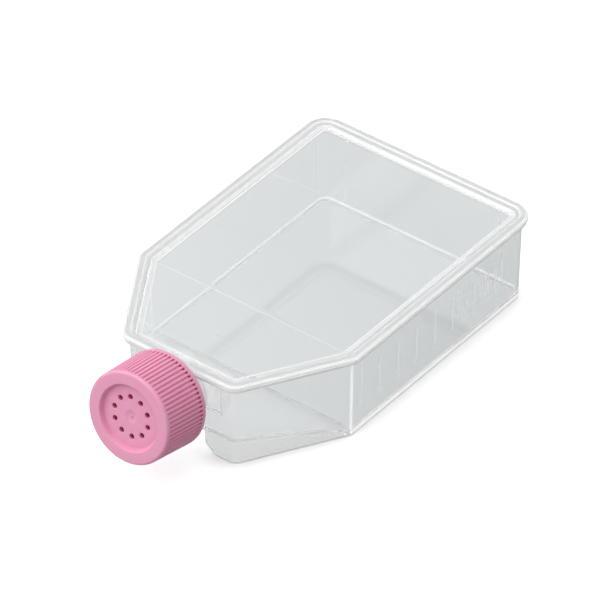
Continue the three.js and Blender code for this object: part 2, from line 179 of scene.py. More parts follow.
def wall_outline(offset, share, shape, y_lines):
    """Outline at a share of the wall's height, moved inwards by the offset."""
    inset = WALL_INSET_BOTTOM + share * (WALL_INSET_TOP - WALL_INSET_BOTTOM) + offset
    return whole(half_path(shape(plan_corners(inset, WALL_RADII, offset)), y_lines))


def wall_ring(offset, height, floor=None, shape=lambda corners: corners, y_lines=()):
    """A ring parallel to the leaning wall. With a floor, the height is taken from it."""
    low = wall_outline(offset, 0, shape, y_lines)
    high = wall_outline(offset, 1, shape, y_lines)
    z = np.full(len(low), float(height))
    if floor is not None:
        z = z + np.array([floor(y) for y in low[:, 1]])
    share = (z / WALL_HEIGHT)[:, None]
    return np.column_stack([low + (high - low) * share, z])


def ramp_height(y, drop=0.0):
    """Top of the floor: flat, then a bowed ramp towards the neck."""
    front = LENGTH - WALL_INSET_TOP
    share = min(1.0, max(0.0, (-y - RAMP_START) / (front - RAMP_START)))
    middle = (FLOOR_TOP + RAMP_TOP) / 2 + RAMP_BOW
    bow = (1 - share) ** 2 * FLOOR_TOP + 2 * share * (1 - share) * middle + share**2 * RAMP_TOP
    return bow - drop


RAMP_LINES = tuple(-y for y in np.arange(RAMP_START, LENGTH - 7, 1.25))

# ------------------------------------------------------------------ mesh tools


def tube_faces(levels, count):
    """The side faces of a tube through a number of rings with the same count of points."""
    faces = []
    for level in range(levels - 1):
        low, high = level * count, (level + 1) * count
        for i in range(count):
            j = (i + 1) % count
            faces.append((low + i, low + j, high + j, high + i))
    return faces


def stack_rings(rings):
    """A closed solid through rings of equal count, its two ends filled by cross strips."""
    count = len(rings[0])
    vertices = np.vstack(rings)
    faces = tube_faces(len(rings), count)
    for start in (0, (len(rings) - 1) * count):
        for i in range(count // 2 - 1):
            mirror = count - 1 - i
            faces.append((start + i, start + i + 1, start + mirror - 1, start + mirror))
    return vertices, faces


def revolve(section, angles, radius_at=None):
    """A closed solid turned about the neck axis from (radius, along) pairs.

    The section starts and ends on the axis. radius_at may change a radius by its angle.
    """
    rows = [tuple(p) for p in section]
    vertices = [(0.0, 0.0, rows[0][1])]
    for row, (radius, along) in enumerate(rows[1:-1], start=1):
        for k, angle in enumerate(angles):
            r = radius if radius_at is None else radius_at(row, k, radius, along)
            vertices.append((r * math.cos(angle), r * math.sin(angle), along))
    vertices.append((0.0, 0.0, rows[-1][1]))
    count = len(angles)
    faces = []
    for k in range(count):
        nxt = (k + 1) % count
        faces.append((0, 1 + k, 1 + nxt))
        for row in range(len(rows) - 3):
            a, b = 1 + row * count, 1 + (row + 1) * count
            faces.append((a + k, b + k, b + nxt, a + nxt))
        last = 1 + (len(rows) - 3) * count
        faces.append((last + k, len(vertices) - 1, last + nxt))
    return np.array(vertices), faces


def even_angles(count):
    """Equal steps round a circle, in radians."""
    return [2 * math.pi * k / count for k in range(count)]


def block(low, high):
    """A box between two opposite corners."""
    (x0, y0, z0), (x1, y1, z1) = low, high
    vertices = [(x, y, z) for x in (x0, x1) for y in (y0, y1) for z in (z0, z1)]
    faces = [(0, 1, 3, 2), (4, 6, 7, 5), (0, 4, 5, 1), (2, 3, 7, 6), (0, 2, 6, 4), (1, 5, 7, 3)]
    return np.array(vertices, float), faces


def to_mesh(name, solid):
    """A mesh with doubled points joined and its faces turned outwards."""
    vertices, faces = solid
    mesh = bpy.data.meshes.new(name)
    mesh.from_pydata([tuple(v) for v in vertices], [], [tuple(f) for f in faces])
    work = bmesh.new()
    work.from_mesh(mesh)
    bmesh.ops.remove_doubles(work, verts=work.verts, dist=1e-5)
    bmesh.ops.dissolve_degenerate(work, edges=work.edges, dist=1e-6)
    bmesh.ops.recalc_face_normals(work, faces=work.faces)
    work.to_mesh(mesh)
    work.free()
    return mesh


def to_object(name, solid):
    """An object in the scene, made from points and faces."""
    obj = bpy.data.objects.new(name, to_mesh(name, solid))
    bpy.context.scene.collection.objects.link(obj)
    return obj


def combine(base, tools):
    """Joins or cuts an object by (operation, solid) pairs, in order."""
    helpers = []
    for operation, solid in tools:
        helper = to_object("tool", solid) if isinstance(solid, tuple) else solid
        modifier = base.modifiers.new(operation, "BOOLEAN")
        modifier.operation = operation
        modifier.solver = "MANIFOLD"
        modifier.object = helper
        helpers.append(helper)
    bpy.context.view_layer.update()
    evaluated = base.evaluated_get(bpy.context.evaluated_depsgraph_get())
    mesh = bpy.data.meshes.new_from_object(evaluated)
    base.modifiers.clear()
    base.data = mesh
    for helper in helpers:
        bpy.data.objects.remove(helper)
    return base


def finish_mesh(obj, transform, sharp_degrees=35.0):
    """Moves a drawn mesh to its place in metres and sets its shading."""
    obj.data.transform(transform)
    work = bmesh.new()
    work.from_mesh(obj.data)
    bmesh.ops.remove_doubles(work, verts=work.verts, dist=2e-6)
    bmesh.ops.recalc_face_normals(work, faces=work.faces)
    work.to_mesh(obj.data)
    work.free()
    obj.data.materials.clear()
    obj.data.shade_smooth()
    obj.data.set_sharp_from_angle(angle=math.radians(sharp_degrees))
    weighted = obj.modifiers.new("even_normals", "WEIGHTED_NORMAL")
    weighted.keep_sharp = True
    weighted.weight = 60
    return obj


FLASK_TO_PART = Matrix.Translation((0, BACK_Y * MM, 0)) @ Matrix.Scale(MM, 4)

cap_joint = next(joint for joint in frame["joints"] if joint["name"] == "cap_turn")
NECK_AXIS = Vector(cap_joint["axis"]).normalized()
NECK_ORIGIN = Vector(cap_joint["pos_m"])
NECK_UP = NECK_AXIS.cross(Vector((1, 0, 0)))
NECK_TO_PART = (
    Matrix.Translation(NECK_ORIGIN)
    @ Matrix(((1, 0, 0), NECK_UP, NECK_AXIS)).transposed().to_4x4()
    @ Matrix.Scale(MM, 4)
)
NECK_TO_FLASK = FLASK_TO_PART.inverted() @ NECK_TO_PART


def moved(solid, matrix):
    """A solid's points carried through a matrix."""
    vertices, faces = solid
    return np.array([matrix @ Vector(v) for v in vertices]), faces


# ------------------------------------------------------------------ neck and threads

NECK_REACH = 21.5
BORE_ROOT, BORE_MOUTH = 8.9, 10.9
BARREL_ROOT, BARREL = 10.5, 12.7
TAPER_LENGTH = 6.5
THREAD_LEAD = 4.2
THREAD_DEPTH = 1.2
THREAD_GAP = 0.4
THREAD_START = NECK_REACH - 2.6
THREAD_ROOT = 0.3  # how deep a ridge's foot lies in its wall
THREAD_FADE = 0.12  # share of a ridge over which each end fades
THREAD_LEAST = 0.06
THREAD_STEPS = 72  # sections in a turn
NECK_THREAD_TURNS = 1.25
CAP_THREAD_TURNS = 0.75
NECK_ROOT = 3.2  # how far the barrel reaches back into the body
LID_WEB = 0.9  # what is left of the top plate over the neck
CAP_BORE = BARREL + THREAD_DEPTH + THREAD_GAP


def thread_ridge(wall, crest, start, turns):
    """A right-handed rounded ridge that winds back from near the mouth and fades at its ends."""
    foot = wall - math.copysign(THREAD_ROOT, crest - wall)
    out = crest - foot
    section = rounded_path(
        [
            (0, -1.15),
            (0.25 * out, -1.0, 0.2),
            (out, -0.5, 0.25),
            (out, 0.5, 0.25),
            (0.25 * out, 1.0, 0.2),
            (0, 1.15),
        ],
        steps=3,
    )
    steps = int(turns * THREAD_STEPS)
    rings = []
    for i in range(steps + 1):
        along = i / steps
        fade = min(1.0, max(THREAD_LEAST, min(along, 1 - along) / THREAD_FADE))
        fade = math.sin(fade * math.pi / 2)
        angle = -along * turns * 2 * math.pi
        ring = []
        for depth, height in section:
            radius = foot + depth * fade
            z = start + height - along * turns * THREAD_LEAD
            ring.append((radius * math.cos(angle), radius * math.sin(angle), z))
        rings.append(np.array(ring))
    count = len(section)
    faces = tube_faces(len(rings), count)
    faces.append(tuple(range(count)))
    faces.append(tuple(range(steps * count, (steps + 1) * count)))
    return np.vstack(rings), faces


def make_neck():
    """The threaded barrel, trimmed flat where it passes under the top plate."""
    outside = rounded_path(
        [
            (0, -NECK_ROOT),
            (BARREL_ROOT, -NECK_ROOT, 0),
            (BARREL_ROOT, 0, 2.0),
            (BARREL, TAPER_LENGTH, 2.0),
            (BARREL, NECK_REACH, 0.5),
            (0, NECK_REACH),
        ]
    )
    neck = to_object("neck", moved(revolve(outside, even_angles(90)), NECK_TO_FLASK))
    ridge = thread_ridge(BARREL, BARREL + THREAD_DEPTH, THREAD_START, NECK_THREAD_TURNS)
    flat_top = LID_TOP - LID_WEB - FIT_GAP
    inside_wall = -LENGTH + WALL_INSET_BOTTOM + WALL / 2
    return combine(
        neck,
        [
            ("UNION", moved(ridge, NECK_TO_FLASK)),
            ("DIFFERENCE", block((-50, -LENGTH - 0.3, flat_top), (50, 0, 60))),
            ("DIFFERENCE", block((-50, inside_wall, 0), (50, 0, 60))),
        ],
    )


def neck_bore():
    """The pouring bore, flared into the body and widening towards the mouth."""
    inside = rounded_path(
        [
            (0, -8),
            (BORE_ROOT + 1.5, -8, 0),
            (BORE_ROOT + 0.9, -3.9, 0.0),
            (BORE_ROOT, -2.6, 1.2),
            (BORE_ROOT, 0, 1.0),
            (BORE_MOUTH, NECK_REACH - 0.5, 0.5),
            (BORE_MOUTH + 0.5, NECK_REACH, 0),
            (BORE_MOUTH + 0.5, NECK_REACH + 1, 0),
            (0, NECK_REACH + 1),
        ]
    )
    return moved(revolve(inside, even_angles(90)), NECK_TO_FLASK)


# ------------------------------------------------------------------ flask body


def flask_outside():
    """Leaning walls on a rounded foot, with the flange round their top."""
    flange_low = WALL_HEIGHT - FLANGE_THICKNESS
    foot = rounded_path(
        [(3.0, 0), (0, 0, 0.8), (0, FOOT_BAND), (WALL_STEP, FOOT_BAND + 0.25), (WALL_STEP, 5)]
    )[:-1]
    neckline = rounded_path(
        [(WALL_STEP, flange_low - 2), (WALL_STEP, flange_low, 0.4), (-1, flange_low)]
    )[1:-1]
    edge = rounded_path(
        [(1.5, flange_low), (0.3, flange_low, 0.25), (0.3, WALL_HEIGHT, 0.25), (1.5, WALL_HEIGHT)], 3
    )
    rings = [wall_ring(offset, z) for offset, z in foot]
    rings += [wall_ring(offset, z) for offset, z in neckline]
    rings += [plan_ring(inset, z) for inset, z in edge[1:]]
    return stack_rings(rings)


def chamber():
    """Space inside the walls, above the floor and the ramp, with a rounded foot."""
    section = rounded_path([(WALL, 3), (WALL, 0, 0.4), (WALL + 3, 0)], steps=6)[1:]
    rings = [wall_ring(WALL, WALL_HEIGHT + 1, y_lines=RAMP_LINES)]
    for offset, height in section:
        rings.append(wall_ring(offset, height, floor=ramp_height, y_lines=RAMP_LINES))
    return stack_rings(rings)


def under_ramp():
    """Hollow between the skirts, under the ramp."""

    def front_part(corners):
        (half, _, _), (_, shoulder, _), nose = corners
        back = -RAMP_START - 0.6
        x = half + (back - shoulder) * (nose[0] - half) / (nose[1] - shoulder)
        return [(x, back, 0.5), nose]

    def roof(y):
        return ramp_height(y, RAMP_THICKNESS)

    lines = tuple(y for y in RAMP_LINES if y < -RAMP_START - 1.5)
    section = rounded_path([(SKIRT, -3), (SKIRT, 0, 0.5), (SKIRT + 2, 0)])[1:]
    rings = [wall_ring(SKIRT, -1, shape=front_part, y_lines=lines)]
    for offset, height in section:
        rings.append(wall_ring(offset, height, floor=roof, shape=front_part, y_lines=lines))
    return stack_rings(rings)


def under_floor():
    """Shallow hollow under the growth surface, inside the foot."""

    def back_part(corners):
        (half, back, radius), _, _ = corners
        return [(half, back, radius), (half, -RAMP_START + FOOT_WIDTH, 1.5)]

    section = rounded_path(
        [
            (FOOT_WIDTH - 0.3, -0.3),
            (FOOT_WIDTH, 0.15, 0.1),
            (FOOT_WIDTH, FOOT_HEIGHT, 0.3),
            (5, FOOT_HEIGHT),
        ],
        steps=3,
    )
    rings = [wall_ring(offset, z, shape=back_part) for offset, z in section]
    return stack_rings(rings)


def skirt_slot():
    """Opening in the front skirt: the skirt stays only beside the two front corners."""
    top = RAMP_TOP - RAMP_THICKNESS
    half = rounded_path(
        [(0, top), (SLOT_HALF, top, 0.6), (SLOT_HALF, 3.2, 3.0), (SLOT_HALF + 4.2, 0, 1.5), (18, -1)],
        steps=8,
    )
    outline = np.vstack([half, half[::-1] * np.array([-1, 1])])
    front, back = -LENGTH, -LENGTH + WALL_INSET_BOTTOM + SKIRT + 1.2
    count = len(outline)
    vertices = [(x, front, z) for x, z in outline] + [(x, back, z) for x, z in outline]
    faces = [(i, (i + 1) % count, count + (i + 1) % count, count + i) for i in range(count)]
    faces += [tuple(range(count)), tuple(range(count, 2 * count))]
    return np.array(vertices), faces


def eased_pocket(low, high, ease):
    """A block with sloped sides towards +Y, for a shallow panel with soft edges."""
    (x0, y0, z0), (x1, y1, z1) = low, high
    left, right, under, over = x0 - ease, x1 + ease, z0 - ease, z1 + ease
    near = [(left, y0, under), (right, y0, under), (right, y0, over), (left, y0, over)]
    far = [(x0, y1, z0), (x1, y1, z0), (x1, y1, z1), (x0, y1, z1)]
    faces = [(0, 1, 2, 3), (4, 5, 6, 7), (0, 1, 5, 4), (1, 2, 6, 5), (2, 3, 7, 6), (3, 0, 4, 7)]
    return np.array(near + far, float), faces


# The recess in the front wall, round the neck, with a raised lip beside and under it.
POCKET_HALF, POCKET_FLOOR, POCKET_ROOF = 16.4, 19.5, 29.6
POCKET_SINK = 0.58
LIP_WIDTH, LIP_RISE = 0.55, 0.35
# The label panel, sunk a little into the back wall.
LABEL_HALF, LABEL_LOW, LABEL_HIGH = 32, 2.6, 29.4
LABEL_SINK = 0.12


def make_flask_body():
    """The clear body as one mesh: walls, recesses, neck, and all its hollows cut out."""
    body = to_object("clear_body", flask_outside())
    wall_front = -LENGTH + WALL_INSET_TOP
    pocket = eased_pocket(
        (-POCKET_HALF, wall_front - 1, POCKET_FLOOR),
        (POCKET_HALF, wall_front + POCKET_SINK, POCKET_ROOF),
        ease=0.12,
    )
    bead = block(
        (-POCKET_HALF - LIP_WIDTH, wall_front - LIP_RISE, POCKET_FLOOR - LIP_WIDTH),
        (POCKET_HALF + LIP_WIDTH, wall_front + 0.5, POCKET_ROOF),
    )
    back = -WALL_INSET_BOTTOM
    label = eased_pocket(
        (-LABEL_HALF, back + 1.6, LABEL_LOW),
        (LABEL_HALF, back - LABEL_SINK, LABEL_HIGH),
        ease=0.4,
    )
    combine(
        body,
        [
            ("UNION", bead),
            ("DIFFERENCE", pocket),
            ("DIFFERENCE", label),
            ("UNION", make_neck()),
            ("DIFFERENCE", chamber()),
            ("DIFFERENCE", under_ramp()),
            ("DIFFERENCE", under_floor()),
            ("DIFFERENCE", skirt_slot()),
            ("DIFFERENCE", neck_bore()),
        ],
    )
    return finish_mesh(body, FLASK_TO_PART)


# ------------------------------------------------------------------ top plate

PANEL_TOP = LID_TOP - 1.3
PANEL_BOTTOM = PANEL_TOP - 1.3
STEP_TOP = LID_TOP - 0.45
PANEL_DROP = 0.3
CREASE = SHOULDER - 1.5
CREASE_HALF = 0.36
GATE_FROM_FRONT = 20.6
GATE_RADIUS, GATE_RISE, GATE_DISH = 1.6, 0.12, 0.15


def gate_mark():
    """The small raised ring that the moulding's gate leaves in the sunk panel."""
    top = PANEL_TOP - PANEL_DROP + GATE_RISE
    section = rounded_path(
        [
            (0, top - 1),
            (GATE_RADIUS, top - 1),
            (GATE_RADIUS - 0.05, top, 0.05),
            (0.8, top, 0.05),
            (0.7, top - GATE_DISH, 0.05),
            (0, top - GATE_DISH),
        ],
        steps=3,
    )
    place = Matrix.Translation((0, -LENGTH + GATE_FROM_FRONT, 0))
    return moved(revolve(section, even_angles(48)), place)


def room_for_neck():
    """The hollow in the plate's underside where the barrel passes, below the web that stays."""
    radius, wide = BARREL_ROOT + FIT_GAP, BARREL + FIT_GAP
    section = rounded_path([(0, -5), (radius, -5), (radius, 0), (wide, TAPER_LENGTH), (0, TAPER_LENGTH)])
    room = to_object("neck_room", moved(revolve(section, even_angles(120)), NECK_TO_FLASK))
    return combine(room, [("DIFFERENCE", block((-50, -200, LID_TOP - LID_WEB), (50, 10, 80)))])


def make_top_plate():
    """The plate as one mesh: stacking ridge, rim step, and a panel that drops in front of a crease."""
    low = WALL_HEIGHT + FIT_GAP
    plug = WALL_INSET_TOP + WALL + 0.3
    section = rounded_path(
        [
            (12, PANEL_TOP),
            (5.9, PANEL_TOP, 1.3),
            (4.6, STEP_TOP, 0.9),
            (2.8, STEP_TOP, 0.3),
            (2.45, LID_TOP, 0.35),
            (0.75, LID_TOP, 0.35),
            (0.45, STEP_TOP, 0.2),
            (0, STEP_TOP, 0.35),
            (0, low, 0.3),
            (plug, low, 0.1),
            (plug, PANEL_BOTTOM, 0.4),
            (12, PANEL_BOTTOM),
        ],
        steps=4,
    )
    lines = (-CREASE + CREASE_HALF, -CREASE - CREASE_HALF)
    rings = []
    for inset, z in section:
        ring = plan_ring(inset, z, lines)
        if inset > 3.5 and z > PANEL_TOP - 0.1:
            sunk = min(1.0, max(0.0, (STEP_TOP - z) / (STEP_TOP - PANEL_TOP)))
            share = np.clip((-CREASE + CREASE_HALF - ring[:, 1]) / (2 * CREASE_HALF), 0, 1)
            ring[:, 2] -= PANEL_DROP * sunk * share * share * (3 - 2 * share)
        rings.append(ring)
    plate = to_object("clear_top_plate", stack_rings(rings))
    combine(plate, [("UNION", gate_mark()), ("DIFFERENCE", room_for_neck())])
    return finish_mesh(plate, FLASK_TO_PART)


# ------------------------------------------------------------------ graduations

# Distance from the back edge of each volume line, on the wall towards +X.
LOW_LINES = [15.8 + 3.87 * i for i in range(8)]
HIGH_LINES = [52.5 + 9.93 * i for i in range(5)]
LONG_LOW_LINES = (4, 7)  # which of the low lines reach down as far as the high ones
LINE_BOTTOM, SHORT_LINE_BOTTOM = 8.7, 11.5
LOW_LINE_TOP, HIGH_LINE_TOP, LAST_LINE_TOP = 22.3, 23.5, 27.2
LOW_LINE_WIDTH, HIGH_LINE_WIDTH = 0.75, 0.8
LINE_RISE, LINE_SLOPE, LINE_EDGE = 0.06, 0.06, 0.02


def wall_mark(y, z0, z1, width):
    """A thin raised bar on the outside of the +X wall."""
    half = width / 2
    section = [
        (-half, LINE_EDGE),
        (-half + LINE_SLOPE, LINE_RISE),
        (half - LINE_SLOPE, LINE_RISE),
        (half, LINE_EDGE),
    ]
    foot = WIDTH / 2 - WALL_STEP - WALL_INSET_BOTTOM
    points = []
    for z in (z0, z1):
        x = foot + (WALL_INSET_BOTTOM - WALL_INSET_TOP) * z / WALL_HEIGHT
        for dy, dx in section:
            points.append((x + dx, y + dy, z))
    faces = [(0, 1, 2, 3), (4, 5, 6, 7)]
    faces += [(i, (i + 1) % 4, 4 + (i + 1) % 4, 4 + i) for i in range(4)]
    return np.array(points), faces


def make_graduations():
    """All the volume lines as one mesh, without figures."""
    vertices, faces = [], []

    def add(solid):
        start = sum(len(v) for v in vertices)
        vertices.append(solid[0])
        faces.extend(tuple(start + i for i in face) for face in solid[1])

    for i, y in enumerate(LOW_LINES):
        bottom = LINE_BOTTOM if i in LONG_LOW_LINES else SHORT_LINE_BOTTOM
        add(wall_mark(-y, bottom, LOW_LINE_TOP, LOW_LINE_WIDTH))
    for y in HIGH_LINES:
        top = LAST_LINE_TOP if y == HIGH_LINES[-1] else HIGH_LINE_TOP
        add(wall_mark(-y, LINE_BOTTOM, top, HIGH_LINE_WIDTH))
    marks = to_object("graduations", (np.vstack(vertices), faces))
    return finish_mesh(marks, FLASK_TO_PART)


# ------------------------------------------------------------------ cap

SEAL_GAP, SEAL_LIP = 0.3, 0.8  # from the neck's mouth to the sealing lip, and the lip's height
FACE_THICKNESS, FACE_SINK = 1.3, 1.7
CAP_LENGTH = 19.5
PLATE_BACK = NECK_REACH + SEAL_GAP + SEAL_LIP
RECESS_FLOOR = PLATE_BACK + FACE_THICKNESS
CAP_FRONT = RECESS_FLOOR + FACE_SINK
CAP_REAR = CAP_FRONT - CAP_LENGTH
CAP_RADIUS_FRONT, CAP_RADIUS_REAR = 16.28, 16.78
RIB_COUNT = 68
GROOVE_DEPTH = 0.45
RIB_POCKET_DEPTH = 1.6
MEMBRANE_RADIUS = 10.75
MEMBRANE_THICKNESS = 0.3  # also the gap in front of it
# Place in one rib pitch and how far down the groove that place is.
RIB_PROFILE = (
    (0.0, 1.0),
    (0.1, 0.95),
    (0.17, 0.6),
    (0.23, 0.15),
    (0.3, 0.0),
    (0.5, -0.03),
    (0.7, 0.0),
    (0.77, 0.15),
    (0.83, 0.6),
    (0.9, 0.95),
)
# Where the grooves start behind the front and before the rear, and where the deeper pockets end.
GROOVE_FRONT, GROOVE_FRONT_RUN = 1.0, 0.9
GROOVE_REAR, GROOVE_REAR_RUN = 1.55, 0.22
RIB_POCKET_END, RIB_POCKET_RUN = 1.15, 0.3
VENT_COUNT = 10
VENT_CIRCLE = 7
VENT_RADIUS, VENT_MOUTH = 0.95, 1.4
FIRST_VENT_DEGREES = -8.5


def rib_angles():
    """The angles round the cap at which its ribs have a point."""
    pitch = 2 * math.pi / RIB_COUNT
    return [(rib + share) * pitch for rib in range(RIB_COUNT) for share, _ in RIB_PROFILE]


def groove_depth(along):
    """Depth of the grooves at a place along the cap: a deeper pocket ends each near the rear."""
    behind_front = CAP_FRONT - GROOVE_FRONT - along
    before_rear = along - CAP_REAR - GROOVE_REAR
    depth = GROOVE_DEPTH * min(1.0, max(0.0, behind_front / GROOVE_FRONT_RUN))
    pocket = min(1.0, max(0.0, (RIB_POCKET_END - before_rear) / RIB_POCKET_RUN))
    depth += (RIB_POCKET_DEPTH - GROOVE_DEPTH) * pocket
    return depth * min(1.0, max(0.0, before_rear / GROOVE_REAR_RUN))


def side_radius(along):
    """The cap widens a little towards its rear."""
    share = (along - CAP_REAR) / (CAP_FRONT - CAP_REAR)
    return CAP_RADIUS_REAR + (CAP_RADIUS_FRONT - CAP_RADIUS_REAR) * share


def cap_face():
    """From the axis out: a dimple, the sunk face, the rim and its rounded edge."""
    dimple = [
        (0.0, RECESS_FLOOR - 0.1),
        (0.3, RECESS_FLOOR - 0.14),
        (0.42, RECESS_FLOOR - 0.36),
        (0.8, RECESS_FLOOR - 0.42),
        (1.4, RECESS_FLOOR - 0.33),
        (2.0, RECESS_FLOOR - 0.12),
        (2.35, RECESS_FLOOR),
    ]
    face = rounded_path(
        [
            (2.6, RECESS_FLOOR),
            (11.0, RECESS_FLOOR, 0.35),
            (11.75, CAP_FRONT, 0.45),
            (CAP_RADIUS_FRONT, CAP_FRONT, 1.0),
            (side_radius(CAP_FRONT - 3), CAP_FRONT - 3),
        ],
        steps=6,
    )[:-1]
    return dimple + [tuple(p) for p in face]


def cap_rear():
    """From the outside in: the rear edge, the bore, and the lip that seals on the membrane."""
    rear = rounded_path(
        [
            (CAP_RADIUS_REAR, CAP_REAR + 1.5),
            (CAP_RADIUS_REAR, CAP_REAR, 0.45),
            (CAP_BORE, CAP_REAR, 0.5),
            (CAP_BORE, PLATE_BACK, 0.6),
            (12.3, PLATE_BACK, 0),
            (12.1, PLATE_BACK - SEAL_LIP, 0.2),
            (11.2, PLATE_BACK - SEAL_LIP, 0.2),
            (11.05, PLATE_BACK, 0.1),
            (0, PLATE_BACK),
        ],
        steps=4,
    )[1:]
    return [tuple(p) for p in rear]


def vent_holes():
    """The ring of holes through the cap's face, each with an eased edge."""
    section = rounded_path(
        [
            (0, PLATE_BACK - 0.5),
            (VENT_RADIUS, PLATE_BACK - 0.5),
            (VENT_RADIUS, RECESS_FLOOR, 0.18),
            (VENT_MOUTH, RECESS_FLOOR + 0.02),
            (VENT_MOUTH, RECESS_FLOOR + 0.6),
            (0, RECESS_FLOOR + 0.6),
        ],
        steps=4,
    )
    holes = []
    for i in range(VENT_COUNT):
        angle = math.radians(FIRST_VENT_DEGREES + 360 / VENT_COUNT * i)
        place = Matrix.Translation((VENT_CIRCLE * math.cos(angle), VENT_CIRCLE * math.sin(angle), 0))
        holes.append(moved(revolve(section, even_angles(24)), place))
    return holes


def make_cap():
    """The ribbed cap as one mesh, with its inner thread and its vent holes."""
    side_steps = [CAP_REAR + s for s in (1.5, 1.56, 1.66, 1.77, 2.1, 2.4, 2.55, 2.7, 3.2)]
    side_steps += list(np.linspace(CAP_REAR + 4.4, CAP_FRONT - 2.6, 6))
    side_steps += [CAP_FRONT - s for s in (2.1, 1.9, 1.7, 1.5, 1.3, 1.1)]
    face = cap_face()
    side = [(side_radius(s), s) for s in sorted(side_steps, reverse=True)]
    section = face + side + cap_rear()
    first_side = len(face)
    last_side = first_side + len(side)
    depths = [depth for _, depth in RIB_PROFILE] * RIB_COUNT

    def radius_at(row, k, radius, along):
        if not first_side <= row < last_side:
            return radius
        return radius - depths[k] * groove_depth(along)

    cap = to_object("pink_vent_cap", revolve(section, rib_angles(), radius_at))
    start = THREAD_START - THREAD_LEAD / 2
    thread = thread_ridge(CAP_BORE, BARREL + THREAD_GAP, start, CAP_THREAD_TURNS)
    combine(cap, [("UNION", thread)] + [("DIFFERENCE", hole) for hole in vent_holes()])
    return finish_mesh(cap, NECK_TO_PART, sharp_degrees=40)


def make_membrane():
    """A thin disc with a pressed border, behind the cap's face."""
    front = PLATE_BACK - MEMBRANE_THICKNESS
    section = rounded_path(
        [
            (0, front),
            (10.0, front, 0.5),
            (10.2, front - 0.05, 0.1),
            (MEMBRANE_RADIUS, front - 0.05, 0.05),
            (MEMBRANE_RADIUS, front - MEMBRANE_THICKNESS, 0.05),
            (0, front - MEMBRANE_THICKNESS),
        ],
        steps=3,
    )
    disc = to_object("filter_membrane", revolve(section, even_angles(96)))
    return finish_mesh(disc, NECK_TO_PART)


# ------------------------------------------------------------------ materials


def new_material(name):
    """A material with its nodes, its links and its shader."""
    material = bpy.data.materials.new(name)
    material.use_nodes = True
    nodes = material.node_tree.nodes
    return material, nodes, material.node_tree.links, nodes["Principled BSDF"]


def add_noise(nodes, links, scale, detail):
    """Noise that stays fixed to the object."""
    place = nodes.new("ShaderNodeTexCoord")
    noise = nodes.new("ShaderNodeTexNoise")
    noise.inputs["Scale"].default_value = scale
    noise.inputs["Detail"].default_value = detail
    links.new(place.outputs["Object"], noise.inputs["Vector"])
    return noise


def add_range(nodes, links, source, low, high):
    """Turns a value from 0 to 1 into one from low to high."""
    ramp = nodes.new("ShaderNodeMapRange")
    ramp.inputs["To Min"].default_value = low
    ramp.inputs["To Max"].default_value = high
    links.new(source, ramp.inputs["Value"])
    return ramp.outputs["Result"]


def add_bump(nodes, links, height, strength, distance, shader):
    """Raises the shader's surface by a height from 0 to 1, over a distance in metres."""
    bump = nodes.new("ShaderNodeBump")
    bump.inputs["Strength"].default_value = strength
    bump.inputs["Distance"].default_value = distance
    links.new(height, bump.inputs["Height"])
    links.new(bump.outputs["Normal"], shader.inputs["Normal"])


MIX_LOW, MIX_HIGH, MIX_RESULT = 6, 7, 2  # where a Mix node has its colours


def add_colour_mix(nodes, links, share, low, high=(1, 1, 1)):
    """A Mix node from one colour to another. A link can take the place of the second."""
    mix = nodes.new("ShaderNodeMix")
    mix.data_type = "RGBA"
    mix.inputs[MIX_LOW].default_value = (*low, 1)
    mix.inputs[MIX_HIGH].default_value = (*high, 1)
    links.new(share, mix.inputs["Factor"])
    return mix


STYRENE_IOR = 1.59


def clear_styrene(name, tint, haze, clearness, edge_light):
    """Moulded polystyrene: faint flow waves, a haze, and how much of the light passes through.

    Its edge_light is an emission, a painted glow. It stands for light that is guided along the walls and
    leaves at their edges and joints, which tracing rays through the mesh breaks up into scribbles.
    A low clearness with a near-white tint makes these painted highlights whiter.
    """
    material, nodes, links, shader = new_material(name)
    shader.inputs["Base Color"].default_value = (*tint, 1)
    shader.inputs["IOR"].default_value = STYRENE_IOR
    shader.inputs["Transmission Weight"].default_value = clearness
    # Painted glow: edge_light makes the plastic give off light of its own.
    shader.inputs["Emission Color"].default_value = (1, 1, 1, 1)
    shader.inputs["Emission Strength"].default_value = edge_light
    waves = add_noise(nodes, links, scale=28, detail=2)
    polish = add_range(nodes, links, waves.outputs["Fac"], haze, haze * 2.5)
    links.new(polish, shader.inputs["Roughness"])
    add_bump(nodes, links, waves.outputs["Fac"], strength=0.15, distance=0.00015, shader=shader)
    return material


def flat_patches(work, same_plane=math.radians(2.5)):
    """Groups of faces that lie in one plane and touch."""
    seen = set()
    for first in work.faces:
        if first in seen:
            continue
        seen.add(first)
        patch, waiting = [], [first]
        while waiting:
            face = waiting.pop()
            patch.append(face)
            for edge in face.edges:
                for other in edge.link_faces:
                    if other not in seen and edge.calc_face_angle(1.0) < same_plane:
                        seen.add(other)
                        waiting.append(other)
        yield patch


# Places of the clear plastics in a mesh's list of materials. All but CLEAR glow: painted light on edges,
# rims, joints and lines.
CLEAR, RIM, EDGE, WELD, STEP, CREASE_LINE, FLOOR_EDGE, RAMP, CORNER = range(9)

# A flat patch narrower than this, twice its area over its border, belongs to a rounded edge.
EDGE_FACET = 0.6
UPRIGHT_EDGE_FACET = 0.2
UPRIGHT = 0.2  # the most that the normal of an upright face may point up or down
SLOPED = 0.3  # the least that the normal of a sloping face points up or down
RIM_LOW = WALL_HEIGHT - 1.5
WELD_LOW, WELD_HIGH = WALL_HEIGHT - 0.02, WALL_HEIGHT + FIT_GAP + 0.05
STEP_LOW = WALL_HEIGHT + 0.3
NECK_RECESS_LOW = 18.0  # upright faces that start above this aren't corners of the tub


